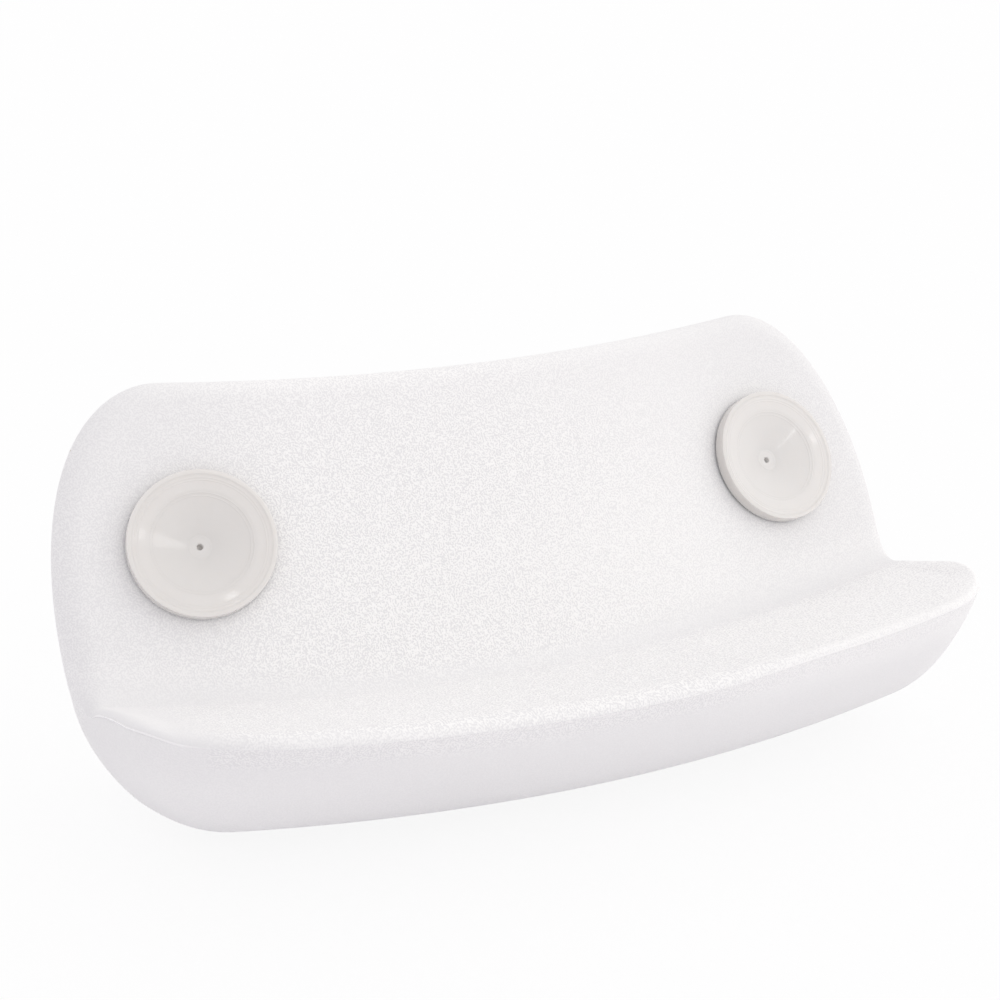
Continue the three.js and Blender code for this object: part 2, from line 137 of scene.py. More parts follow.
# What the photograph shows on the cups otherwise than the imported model: a lower ridge round the hub, a
# shallow and tapered core hole, and fine raised rings, at shares of the way from the lip's step to the
# shoulder and on to the hub.
HUB_RIDGE_SEEN = 0.0001
CORE_HOLE_SEEN_DEPTH = 0.002
CORE_HOLE_END_DIAMETER = 0.0011
CORE_HOLE_ROUNDING = 0.00018
RIM_RING_SHARES = (0.18, 0.36)
DISH_RING_SHARES = (0.07, 0.14)
RING_WIDTH = 0.0003
RING_RISE = 0.0001

# How finely the meshes are drawn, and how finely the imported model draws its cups.
HALF_COLUMNS = 56
LEDGE_ROWS = 30
CREASE_ROWS = 12
PLATE_ROWS = 44
OUTLINE_STEPS = 160
BEAD_SIDES = 12
CUP_SIDES = 160
CAD_CUP_SIDES = 32
FILLET_STEPS = 5
SHARP_ANGLE = math.radians(40)

# Where the rows of the ledge and of the crease end on the head side's curve, and how far a margin may reach
# into the cell beside it.
LEDGE_SPAN_SHARE = 0.3
CREASE_SPAN_SHARE = 0.57
MARGIN_SHARE = 0.5

# A straight stretch of a round profile that is longer than HELD_LENGTH gets a place near each of its ends.
HELD_LENGTH = 0.0015
HELD_STEP = 0.00015

# Sizes too small to count: how far apart two places are, a ring's radius, and a step's length squared.
SAME_PLACE = 0.000002
LEAST_RADIUS = 1e-9
LEAST_SQUARE = 1e-15

# Sizes of the body that follow from those above.
LEDGE_HALF_LENGTH = PLATE_HALF_LENGTH - LEDGE_SET_BACK
TURN = math.pi / 2 - LEDGE_SPLAY
CREASE_REACH = CREASE_RADIUS * math.tan(TURN / 2)
PLATE_CORNER = (PLATE_HALF_LENGTH - PLATE_CORNER_ALONG, PLATE_HEIGHT - PLATE_CORNER_UP)
LEDGE_CORNER = (LEDGE_HALF_LENGTH - LEDGE_CORNER_ALONG, LEDGE_CORNER_OUT - LEDGE_DEPTH)
HALF_TURN_SHARE = math.sqrt(0.5)
PLATE_CORNER_MIDDLE = (
    PLATE_CORNER[0] + PLATE_CORNER_ALONG * HALF_TURN_SHARE,
    PLATE_CORNER[1] + PLATE_CORNER_UP * HALF_TURN_SHARE,
)
LEDGE_CORNER_MIDDLE = (
    LEDGE_CORNER[0] + LEDGE_CORNER_ALONG * HALF_TURN_SHARE,
    LEDGE_CORNER[1] - LEDGE_CORNER_OUT * HALF_TURN_SHARE,
)
HEAD_SIDE = (
    OUTER_FACE_END,
    OUTER_FACE_MIDDLE,
    ROLL_FRONT,
    ROLL_BOTTOM,
    ROLL_BACK,
    NECK_REST,
    HEAD_REST,
    HEAD_REST_END,
)
STANDING = Matrix.Rotation(math.pi / 2 - STAND_LEAN, 3, "X")

# Sizes of the cups and their sockets that follow from those above. Levels are heights over the plate.
CUP_RADIUS = CUP_DIAMETER / 2
HUB_LEVEL = LIP_RISE - DISH_DEPTH
STEM_TOP = HUB_LEVEL - DISH_WALL
STEM_END = STEM_TOP - STEM_LENGTH
RIB_RADIUS = STEM_DIAMETER / 2 + STEM_RIB
BORE_RADIUS = RIB_RADIUS + STEM_CLEARANCE
SEAT_RADIUS = SEAT_DIAMETER / 2
SEAT_LEVEL = STEM_TOP - FIT_GAP
SOCKET_RADIUS = BORE_RADIUS + SOCKET_WALL
BORE_END = STEM_END - STEM_CLEARANCE
SOCKET_END = BORE_END - SOCKET_FLOOR


def smoothstep(value, low, high):
    share = np.clip((value - low) / (high - low), 0, 1)
    return share * share * (3 - 2 * share)


def mix(a, b, share):
    return a + (b - a) * share


def tub_side(distance):
    """The tub side in section: the place and the way out at each distance from the crease.

    Distances are negative on the ledge.
    """
    share = np.clip((CREASE_REACH - distance) / (2 * CREASE_REACH), 0, 1)
    angle = TURN * share
    out = np.stack([np.sin(angle), np.cos(angle)], -1)
    along = np.array([math.cos(TURN), -math.sin(TURN)])
    plate = np.stack([distance, np.zeros_like(distance)], -1)
    ledge = distance[..., None] * along
    bend_x = CREASE_REACH - CREASE_RADIUS * out[..., 0]
    bend_y = CREASE_RADIUS - CREASE_RADIUS * out[..., 1]
    crease = np.stack([bend_x, bend_y], -1)
    place = np.where((distance >= CREASE_REACH)[..., None], plate, crease)
    return np.where((distance <= -CREASE_REACH)[..., None], ledge, place), out


def edge_radius(distance):
    share = smoothstep(distance, -2 * CREASE_REACH, 2 * CREASE_REACH)
    return mix(LEDGE_EDGE_RADIUS, PLATE_EDGE_RADIUS, share)


def soft_edge(x, distance):
    """How soft the ledge's outer edge is at each place, from 0 to 1."""
    return (1 - smoothstep(x, *SOFT_EDGE_END)) * smoothstep(-distance, *SOFT_EDGE_OUT)


def swell_width(distance):
    """How far in from the edge the head side swells to its full thickness."""
    share = smoothstep(distance, -LEDGE_DEPTH / 2, PLATE_HEIGHT / 2)
    return mix(LEDGE_SWELL_WIDTH, PLATE_SWELL_WIDTH, share)


def ellipse_height(along, half_width, half_height):
    return half_height * np.sqrt(np.maximum(0, 1 - (along / half_width) ** 2))


def half_length(distance):
    """Half the body's length at a distance from the crease, laid flat."""
    upper = ellipse_height(distance - PLATE_CORNER[1], PLATE_CORNER_UP, PLATE_CORNER_ALONG)
    lower = ellipse_height(distance - LEDGE_CORNER[1], LEDGE_CORNER_OUT, LEDGE_CORNER_ALONG)
    share = smoothstep(distance, LEDGE_CORNER[1], PLATE_CORNER[1])
    straight = mix(LEDGE_HALF_LENGTH, PLATE_HALF_LENGTH, share)
    ends = np.where(distance < LEDGE_CORNER[1], LEDGE_CORNER[0] + lower, straight)
    return np.where(distance > PLATE_CORNER[1], PLATE_CORNER[0] + upper, ends)


def free_edge(x):
    """The distance from the crease to the plate's free edge."""
    past = np.maximum(0, abs(x) - PLATE_CORNER[0])
    return PLATE_CORNER[1] + ellipse_height(past, PLATE_CORNER_ALONG, PLATE_CORNER_UP)


def outer_edge(x):
    """The distance from the crease to the ledge's outer edge, below 0."""
    past = np.maximum(0, abs(x) - LEDGE_CORNER[0])
    return LEDGE_CORNER[1] - ellipse_height(past, LEDGE_CORNER_ALONG, LEDGE_CORNER_OUT)


def outline_chain():
    """Half the outline of the tub side as a fine chain of points, laid flat."""
    share = np.linspace(0, 1, OUTLINE_STEPS)
    ledge_x = share * LEDGE_CORNER_MIDDLE[0]
    distance = mix(LEDGE_CORNER_MIDDLE[1], PLATE_CORNER_MIDDLE[1], share)
    plate_x = share[::-1] * PLATE_CORNER_MIDDLE[0]
    return np.vstack(
        [
            np.stack([ledge_x, outer_edge(ledge_x)], -1),
            np.stack([half_length(distance), distance], -1),
            np.stack([plate_x, free_edge(plate_x)], -1),
        ]
    )


def distance_inside(x, distance):
    """How far in from the outline each place lies, for a row of places."""
    chain = outline_chain()
    start, step = chain[:-1], chain[1:] - chain[:-1]
    length = np.maximum((step**2).sum(1), LEAST_SQUARE)
    place = np.stack([abs(x), distance], -1)[:, None, :]
    share = np.clip(((place - start) * step).sum(-1) / length, 0, 1)
    nearest = start + share[..., None] * step
    return np.sqrt(((place - nearest) ** 2).sum(-1)).min(-1)


def smooth_curve(points, share):
    """A smooth curve near its control points, from the first to the last."""
    points = np.array(points)
    spans = len(points) - 1
    span = np.minimum(spans - 1, np.floor(share * spans)).astype(int)
    t = (share * spans - span)[:, None]
    first, last = 2 * points[0] - points[1], 2 * points[-1] - points[-2]
    padded = np.vstack([first, points, last])
    weights = [(1 - t) ** 3, 3 * t**3 - 6 * t**2 + 4, -3 * t**3 + 3 * t**2 + 3 * t + 1, t**3]
    return sum(w * padded[span + k] for k, w in enumerate(weights)) / 6


def bend(x, section):
    """Section places [y, z] at x, bowed up and sagged back towards the pillow's ends."""
    y = section[..., 0] + x**2 / (2 * BOW_RADIUS)
    z = section[..., 1] - x**2 / (2 * SAG_RADIUS)
    return np.stack([x, y, z], -1)


def dense_at_start(count):
    """Shares from 0 to nearly 1, closest together at 0."""
    return 1 - np.cos(math.pi / 2 * np.arange(count) / count)


def grid_rows():
    """The rows' distances from the crease in the pillow's middle and at its ends, and three shares of each.

    The shares are how far along the head side's curve a row lies, and how much it follows the outer edge
    and the free edge.
    """
    ledge = dense_at_start(LEDGE_ROWS)
    crease = np.arange(CREASE_ROWS) / CREASE_ROWS
    plate = 1 - np.append(dense_at_start(PLATE_ROWS), 1)[::-1]
    middle = np.concatenate(
        [
            mix(-LEDGE_DEPTH, -CREASE_REACH, ledge),
            mix(-CREASE_REACH, CREASE_REACH, crease),
            mix(CREASE_REACH, PLATE_HEIGHT, plate),
        ]
    )
    end = np.concatenate(
        [
            mix(LEDGE_CORNER_MIDDLE[1], -CREASE_REACH, ledge),
            mix(-CREASE_REACH, CREASE_REACH, crease),
            mix(CREASE_REACH, PLATE_CORNER_MIDDLE[1], plate),
        ]
    )
    head = np.concatenate(
        [
            LEDGE_SPAN_SHARE * ledge,
            mix(LEDGE_SPAN_SHARE, CREASE_SPAN_SHARE, crease),
            mix(CREASE_SPAN_SHARE, 1, plate),
        ]
    )
    to_outer_edge = np.concatenate([1 - ledge, 0 * crease, 0 * plate])
    to_free_edge = np.concatenate([0 * ledge, 0 * crease, plate])
    return middle, end, head, to_outer_edge, to_free_edge


def body_sides():
    """The tub side and the head side as grids of places [column, row].

    With them go how far in each place lies, the way out of the tub side and the distance from the crease.
    """
    middle, end, head, to_outer_edge, to_free_edge = grid_rows()
    half = 1 - dense_at_start(HALF_COLUMNS)
    shares = np.concatenate([-half, [0], half[::-1]])
    x = shares[:, None] * half_length(end)
    along_free = free_edge(shares * PLATE_CORNER_MIDDLE[0]) - PLATE_CORNER_MIDDLE[1]
    along_outer = outer_edge(shares * LEDGE_CORNER_MIDDLE[0]) - LEDGE_CORNER_MIDDLE[1]
    distance = end + to_free_edge * along_free[:, None] + to_outer_edge * along_outer[:, None]
    inside = np.array([distance_inside(*column) for column in zip(x, distance)])
    inside[0] = inside[-1] = 0
    inside[:, 0] = inside[:, -1] = 0
    place, out = tub_side(distance)
    along = smoothstep(abs(x), LEDGE_HALF_LENGTH - END_CURL_LENGTH, LEDGE_HALF_LENGTH)
    rise = END_CURL_RISE * along * smoothstep(-distance, 0, END_CURL_DEPTH)
    place = place + rise[..., None] * out
    radius = edge_radius(distance)
    soft = soft_edge(x, distance)
    deep, wide = mix(radius, SOFT_EDGE_DEPTH, soft), mix(radius, SOFT_EDGE_WIDTH, soft)
    rounding = np.maximum(0, 1 - inside / wide)
    drop = deep * (1 - np.sqrt(1 - rounding**2))
    slack = np.maximum(0, 1 - inside / swell_width(distance))
    swell = np.sqrt(1 - slack**2)
    middle_place, middle_out = tub_side(middle)
    thickness = smooth_curve(HEAD_SIDE, head) - middle_place + edge_radius(middle)[:, None] * middle_out
    thickness = thickness + (deep - radius)[..., None] * out
    parting = place - deep[..., None] * out
    tub = bend(x, place - drop[..., None] * out)
    back = bend(x, parting + swell[..., None] * thickness)
    way_out = np.concatenate([np.zeros_like(x)[..., None], out], -1)
    return tub, back, inside, way_out, distance


def cup_frame(side):
    """The place of a cup's middle on the plate, and its own axes, in body coordinates."""
    x = side * (PLATE_HALF_LENGTH - CUP_INSET)
    place = bend(np.array(x), np.array([PLATE_HEIGHT - CUP_DROP, 0]))
    turned = Matrix.Rotation(math.atan(x / SAG_RADIUS), 3, "Y")
    return Vector(place), turned


def body_place():
    """Where the body's own frame starts, found from the mount on the left cup's lip.

    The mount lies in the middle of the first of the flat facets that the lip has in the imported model.
    """
    mounts = {mount["name"]: mount for mount in frame["record"]["mounts"]}
    lip = Vector(mounts["cup_lip_left"]["pos_m"])
    place, turned = cup_frame(SIDES["left"])
    flat = STANDING @ (place + turned @ Vector((0, 0, LIP_RISE)))
    across = STANDING @ turned @ Vector((1, 0, 0))
    up = STANDING @ turned @ Vector((0, 1, 0))
    inner, outer = CUP_RADIUS - LIP_WIDTH, CUP_RADIUS - LIP_ROUNDING / 2
    half_side = math.pi / CAD_CUP_SIDES
    radius = (inner + outer) / 2 * math.cos(half_side)
    return lip - flat - radius * (math.sin(half_side) * across + math.cos(half_side) * up)


BODY_FRAME = Matrix.Translation(body_place()) @ STANDING.to_4x4()


def cup_matrix(side):
    place, turned = cup_frame(side)
    return BODY_FRAME @ Matrix.Translation(place) @ turned.to_4x4()


def in_frame(places):
    """Places in body coordinates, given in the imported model's frame."""
    matrix = np.array(BODY_FRAME)
    return places @ matrix[:3, :3].T + matrix[:3, 3]


def pressed_flat(places):
    """The same, pressed flat where the pillow stands."""
    placed = in_frame(places)
    placed[..., 2] = np.maximum(placed[..., 2], 0)
    return placed


def mesh_object(name, vertices, faces, material):
    mesh = bpy.data.meshes.new(name)
    mesh.from_pydata([tuple(v) for v in vertices], [], [tuple(f) for f in faces])
    mesh.validate()
    mesh.materials.append(material)
    piece = bpy.data.objects.new(name, mesh)
    bpy.context.scene.collection.objects.link(piece)
    return piece


def set_attribute(piece, name, values, kind="FLOAT"):
    """Stores a number or a vector for each vertex, which the materials read by its name."""
    attribute = piece.data.attributes.new(name, kind, "POINT")
    field = "vector" if kind == "FLOAT_VECTOR" else "value"
    attribute.data.foreach_set(field, np.asarray(values, dtype=float).ravel())


def grid_faces(index):
    """Quads of a grid of vertex numbers, facing out of the tub side."""
    corners = [index[:-1, :-1], index[1:, :-1], index[1:, 1:], index[:-1, 1:]]
    return np.stack(corners, -1).reshape(-1, 4)


def edge_loop(index):
    """The vertex numbers round a grid's edge."""
    return np.concatenate([index[:-1, 0], index[-1, :-1], index[:0:-1, -1], index[0, :0:-1]])


def closed_body(tub, back):
    """Vertices and faces of a closed body whose two sides share their edge.

    With them go each side's grid of vertex numbers, and which of these numbers the vertices have.
    """
    columns, rows = tub.shape[:2]
    tub_index = np.arange(columns * rows).reshape(columns, rows)
    back_index = tub_index + columns * rows
    back_index[0], back_index[-1] = tub_index[0], tub_index[-1]
    back_index[:, 0], back_index[:, -1] = tub_index[:, 0], tub_index[:, -1]
    vertices = np.concatenate([tub.reshape(-1, 3), back.reshape(-1, 3)])
    faces = np.concatenate([grid_faces(tub_index), grid_faces(back_index)[:, ::-1]])
    used, faces = np.unique(faces, return_inverse=True)
    return vertices[used], faces.reshape(-1, 4), tub_index, back_index, used


def side_normals(tub, back):
    """The normals of both sides, smooth across the edge."""
    vertices, faces, tub_index, back_index, used = closed_body(tub, back)
    mesh = bpy.data.meshes.new("measure")
    mesh.from_pydata([tuple(v) for v in vertices], [], [tuple(f) for f in faces])
    normals = np.zeros(len(vertices) * 3)
    mesh.vertices.foreach_get("normal", normals)
    bpy.data.meshes.remove(mesh)
    every = np.zeros((int(used.max()) + 1, 3))
    every[used] = normals.reshape(-1, 3)
    return every[tub_index], every[back_index]


def shell_faces(shape, turned):
    """Faces of a shell between an outer grid and an inner one, closed round its edge."""
    outer = np.arange(shape[0] * shape[1]).reshape(shape)
    inner = outer + shape[0] * shape[1]
    a, b = edge_loop(outer), edge_loop(inner)
    rim = np.stack([np.roll(a, -1), a, b, np.roll(b, -1)], -1)
    faces = np.concatenate([grid_faces(outer), grid_faces(inner)[:, ::-1], rim])
    return faces[:, ::-1] if turned else faces


def smooth_shading(piece):
    piece.data.shade_smooth()
    piece.data.set_sharp_from_angle(angle=SHARP_ANGLE)


def subtract(piece, tools):
    """Cuts solids out of a piece, then removes them."""
    for tool in tools:
        cut = piece.modifiers.new("cut", "BOOLEAN")
        cut.operation = "DIFFERENCE"
        cut.solver = "EXACT"
        cut.object = tool
        with bpy.context.temp_override(object=piece, active_object=piece):
            bpy.ops.object.modifier_apply(modifier=cut.name)
        bpy.data.objects.remove(tool)


def filleted(profile):
    """A profile of [radius, level, fillet] corners, with an arc for each corner that has a fillet."""
    points = []
    for k, (radius, level, fillet) in enumerate(profile):
        here = np.array([radius, level])
        if not fillet:
            points.append(here)
            continue
        before = np.array(profile[k - 1][:2]) - here
        after = np.array(profile[k + 1][:2]) - here
        reach = min(fillet, np.linalg.norm(before) / 2, np.linalg.norm(after) / 2)
        start = here + before / np.linalg.norm(before) * reach
        end = here + after / np.linalg.norm(after) * reach
        for t in np.linspace(0, 1, FILLET_STEPS):
            points.append((1 - t) ** 2 * start + 2 * t * (1 - t) * here + t**2 * end)
    return np.array(points)


def without_repeats(points):
    """The places of a profile without those that lie on the one before."""
    kept = [points[0]]
    for point in points[1:]:
        if np.linalg.norm(point - kept[-1]) > SAME_PLACE:
            kept.append(point)
    return kept


def held_straight(points):
    """Adds a place near both ends of each long straight stretch, so that its shading stays straight."""
    held = [points[0]]
    for start, end in zip(points, points[1:]):
        length = np.linalg.norm(end - start)
        if length > HELD_LENGTH:
            step = (end - start) * (HELD_STEP / length)
            held += [start + step, end - step]
        held.append(end)
    return held


def lathe(name, profile, matrix, material):
    """A closed solid of revolution about its own z axis.

    The profile starts on the axis, runs up the outside and ends on the axis.
    """
    rings, faces, vertices = [], [], []
    for radius, level in held_straight(without_repeats(filleted(profile))):
        if radius < LEAST_RADIUS:
            rings.append([len(vertices)])
            vertices.append((0, 0, level))
            continue
        rings.append(list(range(len(vertices), len(vertices) + CUP_SIDES)))
        angles = 2 * math.pi * np.arange(CUP_SIDES) / CUP_SIDES
        vertices += [(radius * math.cos(a), radius * math.sin(a), level) for a in angles]
    for low, high in zip(rings, rings[1:]):
        for k in range(CUP_SIDES):
            n = (k + 1) % CUP_SIDES
            if len(low) == 1:
                faces.append((low[0], high[n], high[k]))
            elif len(high) == 1:
                faces.append((low[k], low[n], high[0]))
            else:
                faces.append((low[k], low[n], high[n], high[k]))
    piece = mesh_object(name, vertices, faces, material)
    piece.data.transform(matrix)
    return piece


def fine_rings(start, end, shares):
    """Fine raised rings on the straight stretch of a profile between two of its corners."""
    a, b = np.array(start[:2]), np.array(end[:2])
    along = (b - a) / np.linalg.norm(b - a)
    half = along * RING_WIDTH / 2
    rise = np.array([along[1], -along[0]]) * RING_RISE
    points = []
    for share in shares:
        middle = mix(a, b, share)
        points += [(*place, RING_WIDTH / 4) for place in (middle - half, middle + rise, middle + half)]
    return points


def cup_profile():
    """A ribbed stem, a conical dish with a hub round its core hole, and a stepped lip."""
    pitch = STEM_LENGTH / (STEM_RIBS + 1)
    fine = HUB_RIDGE / 2
    stem = []
    for k in range(STEM_RIBS):
        low = STEM_END + pitch * (k + 1 / 2)
        stem.append((STEM_DIAMETER / 2, low, fine))
        stem.append((RIB_RADIUS, low + pitch / 2, fine / 2))
        stem.append((STEM_DIAMETER / 2, low + pitch / 2, fine / 2))
    shoulder, hub, core = SHOULDER_DIAMETER / 2, HUB_DIAMETER / 2, CORE_HOLE_DIAMETER / 2
    flat_start = (CUP_RADIUS - LIP_WIDTH - LIP_STEP, LIP_RISE - LIP_STEP, LIP_STEP / 2)
    flat_end = (shoulder, LIP_RISE - SHOULDER_DROP, LIP_STEP)
    dish_end = (hub, HUB_LEVEL, fine)
    return [
        (0, STEM_END, 0),
        (STEM_DIAMETER / 2 - STEM_RIB, STEM_END, fine),
        *stem,
        (STEM_DIAMETER / 2, STEM_TOP, fine),
        (RIB_RADIUS + DISH_WALL / 2, STEM_TOP, fine),
        (SEAT_RADIUS - DISH_WALL / 2, CUP_CLEARANCE, LIP_ROUNDING),
        (CUP_RADIUS, CUP_CLEARANCE, LIP_ROUNDING),
        (CUP_RADIUS, LIP_RISE, LIP_ROUNDING),
        (CUP_RADIUS - LIP_WIDTH, LIP_RISE, LIP_STEP / 2),
        flat_start,
        *fine_rings(flat_start, flat_end, RIM_RING_SHARES),
        flat_end,
        *fine_rings(flat_end, dish_end, DISH_RING_SHARES),
        dish_end,
        (hub - HUB_RIDGE, HUB_LEVEL + HUB_RIDGE_SEEN, HUB_RIDGE),
        (hub - 2 * HUB_RIDGE, HUB_LEVEL, HUB_RIDGE),
        (core + CORE_HOLE_ROUNDING, HUB_LEVEL, 0),
        (core, HUB_LEVEL - CORE_HOLE_ROUNDING, CORE_HOLE_ROUNDING),
        (CORE_HOLE_END_DIAMETER / 2, HUB_LEVEL - CORE_HOLE_SEEN_DEPTH, CORE_HOLE_ROUNDING),
        (0, HUB_LEVEL - CORE_HOLE_SEEN_DEPTH, 0),
    ]


def socket_outside(grow):
    """The outside of a socket, below the plate, grown by a gap."""
    return [
        (0, SOCKET_END - grow, 0),
        (SOCKET_RADIUS + grow, SOCKET_END - grow, 0),
        (SOCKET_RADIUS + grow, SEAT_LEVEL - SOCKET_WALL - grow, 0),
        (SEAT_RADIUS + grow, -SOCKET_WALL - grow, 0),
    ]


def socket_profile():
    """A dished seat under the cup and a blind barrel for its stem."""
    return [
        *socket_outside(0),
        (SEAT_RADIUS, 0, LIP_ROUNDING / 2),
        (SEAT_RADIUS - DISH_WALL / 2 + FIT_GAP, 0, LIP_ROUNDING / 2),
        (RIB_RADIUS + DISH_WALL / 2 + FIT_GAP, SEAT_LEVEL, LIP_ROUNDING / 2),
        (BORE_RADIUS, SEAT_LEVEL, LIP_ROUNDING / 2),
        (BORE_RADIUS, BORE_END, 0),
        (0, BORE_END, 0),
    ]


def socket_cut():
    """The room for a socket in the skin and the foam."""
    return [*socket_outside(FIT_GAP), (SEAT_RADIUS + FIT_GAP, CUT_OVERRUN, 0), (0, CUT_OVERRUN, 0)]


# Colours are linear, as the shader takes them.
SKIN_WHITE = (0.98, 0.974, 0.972, 1)
# The next colour is painted shade in the grain's hollows; the grain's ridges take the white above.
SKIN_HOLLOW = (0.836, 0.83, 0.84, 1)
# The bead's colours are paler than the skin's mean, partly as a painted highlight for the bright line along
# the parting.
BEAD_WHITE = (0.95, 0.943, 0.95, 1)
BEAD_DULL = (0.93, 0.923, 0.93, 1)
FOAM_CREAM = (0.8, 0.76, 0.66, 1)
FOAM_PORE = (0.62, 0.57, 0.47, 1)
PLASTIC_WHITE = (0.82, 0.82, 0.8, 1)
PLASTIC_GREY = (0.76, 0.76, 0.75, 1)
VINYL_MILK = (0.855, 0.831, 0.809, 1)
VINYL_CLOUD = (0.843, 0.819, 0.797, 1)
# The next colour is painted shade on the cups' vinyl: on their outer walls, their lips and the left cup's
# face.
VINYL_PAINTED_SHADE = (0.66, 0.635, 0.61, 1)

# The skin's grain: the size of its noise, the step over which that changes, the size of the patches in which
# its ridges turn, the change from flat to a ridge's top, its depth, its stretch, its middle height, and the
# middle of a coloured noise.
RIDGE_CELL = 0.0005
RIDGE_STEP = 0.00021
RIDGE_PATCH = 0.003
RIDGE_SPREAD = 0.24
GRAIN_DEPTH = 0.00004
GRAIN_STRETCH = (1, 0.55, 1)
GRAIN_LEVEL = 0.5
NOISE_MIDDLE = (0.5, 0.5, 0.5)

# Sizes and depths of the foam's cells, of the clouds in the plain materials and of fine pores, and the part
# of the clouds' noise that counts.
FOAM_CELL = 0.0009
FOAM_DEPTH = 0.0002
CLOUD_SIZE = 0.012
CLOUD_RANGE = (0.3, 0.7)
PORE_CELL = 0.0004
PORE_DEPTH = 0.00001

# Roughness, from the low to the high end of a material's pattern or the same all over, and how strongly the
# skin and the bead bend light.
SKIN_ROUGHNESS = (0.65, 0.48)
BEAD_ROUGHNESS = (0.25, 0.32)
PLASTIC_ROUGHNESS = (0.4, 0.55)
VINYL_ROUGHNESS = (0.55, 0.65)
FOAM_ROUGHNESS = 0.95
SKIN_IOR = 1.45
BEAD_IOR = 1.5

# The vinyl: its glossy coat with the mould's ripple, how far light spreads inside it, with the shares of
# red, green and blue, and how strongly that turns the cup's face towards its axis.
COAT_IOR = 1.5
COAT_ROUGHNESS = 0.1
MOULD_RIPPLE = 0.0035
RIPPLE_DEPTH = 0.00001
MILK_WEIGHT = 0.4
MILK_REACH = 0.005
MILK_REACH_SHARES = (1, 0.95, 0.9)
LIGHT_SPREAD = 3

# Painted shade on the vinyl, on the lip and at least on each cup's face, as shares of the painted shade on
# its outer wall. The left cup's face is painted a little darker than the right one's.
LIP_PAINTED_SHADE_SHARE = 0.4
FACE_PAINTED_SHADE_SHARES = {"left": 0.2, "right": 0.0}

# How strongly the grain stands out on the tub side: from the middle to the ends of the plate and of the
# ledge, and less towards the plate's top, in the crease, near the ledge's edge and at its left end.
RELIEF_MIDDLE_X = -0.03
RELIEF_NEAR = 0.015
RELIEF_FAR = 0.105
PLATE_RELIEF = 1.5
PLATE_END_RELIEF = 0.6
LEDGE_RELIEF = 2.4
LEDGE_END_RELIEF = 1.6
PLATE_TOP_SHARE = 0.55
CREASE_CALM_SHARE = 0.6
CREASE_CALM_WIDTH = 0.007
ROLL_CALM_SHARE = 0.6
END_CALM_SHARE = 0.85
END_CALM_START = 0.112
END_CALM_FULL = 0.132

# The grain on the head side: a strip below the parting line, which stops short of the pillow's left end,
# then an almost smooth outer face, and grain again further round the head side's curve.
STRIP_RELIEF = 0.85
STRIP_START = 0.004
STRIP_END = 0.0105
STRIP_LEFT_END = -0.129
STRIP_LEFT_START = -0.122
OUTER_RELIEF = 0.2
HEAD_RELIEF = 1.0
HEAD_GRAIN_SHARES = (0.35, 0.5)

# Painted shade on the skin: along the crease, just below its middle, in the groove beside the bead,
# at the plate's ends, and at the left of the ledge and of the strip below it.
CREASE_SHADE = 0.42
CREASE_SHADE_DROP = 0.002
CREASE_SHADE_WIDTH = 0.008
GROOVE_SHADE = 0.4
PAINTED_END_SHADE_SHARE = 0.28
PAINTED_LEFT_SHADE_SHARE = 0.22
PAINTED_SHADE_ALONG = (0.06, 0.11)

# Painted light on the skin: low in the middle of the plate, and at the right of the ledge and of its strip.
PAINTED_LIGHT_SHARE = 0.3
PAINTED_LIGHT_PLACE = (0.01, 0.03)
PAINTED_LIGHT_WIDTHS = (0.09, 0.035)
PAINTED_RIGHT_LIGHT_SHARE = 0.3
PAINTED_LIGHT_ALONG = (0.0, 0.06)

# The sockets of a Mix node that take two colours and give their mix.
MIX_A = 6
MIX_B = 7
MIX_RESULT = 2


class Nodes:
    """A material's node tree, with short calls for making and joining its nodes."""

    def __init__(self, name):
        self.material = bpy.data.materials.new(name)
        self.material.use_nodes = True
        self.tree = self.material.node_tree
        self.shader = self.tree.nodes["Principled BSDF"]
        self.coordinates = self.add("ShaderNodeTexCoord").outputs["Object"]

    def add(self, kind, inputs=None, **settings):
        """A new node, with its settings, and with links or values for its inputs."""
        node = self.tree.nodes.new(kind)
        for key, value in settings.items():
            setattr(node, key, value)
        for key, value in (inputs or {}).items():
            if isinstance(value, bpy.types.NodeSocket):
                self.tree.links.new(value, node.inputs[key])
            else:
                node.inputs[key].default_value = value
        return node

    def attribute(self, name, output="Fac"):
        return self.add("ShaderNodeAttribute", attribute_name=name).outputs[output]

    def noise(self, size, vector=None, detail=3.0, output="Fac"):
        values = {"Vector": vector or self.coordinates, "Scale": 1 / size, "Detail": detail}
        return self.add("ShaderNodeTexNoise", values).outputs[output]

    def ramp(self, value, start, end, **settings):
        """A value carried over from the range of start to the range of end."""
        values = {"Value": value, "From Min": start[0], "From Max": start[1]}
        values |= {"To Min": end[0], "To Max": end[1]}
        return self.add("ShaderNodeMapRange", values, **settings).outputs["Result"]

    def math(self, operation, a, b):
        return self.add("ShaderNodeMath", {0: a, 1: b}, operation=operation).outputs[0]

    def vector_math(self, operation, inputs):
        return self.add("ShaderNodeVectorMath", inputs, operation=operation).outputs[0]

    def colours(self, factor, a, b):
        values = {"Factor": factor, MIX_A: a, MIX_B: b}
        return self.add("ShaderNodeMix", values, data_type="RGBA").outputs[MIX_RESULT]

    def bump(self, height, depth, normal=None):
        values = {"Height": height, "Distance": depth, "Strength": 1.0}
        if normal:
            values["Normal"] = normal
        return self.add("ShaderNodeBump", values).outputs["Normal"]

    def connect(self, socket, value):
        self.tree.links.new(value, self.shader.inputs[socket])

    def set(self, **values):
        for key, value in values.items():
            self.shader.inputs[key.replace("_", " ")].default_value = value


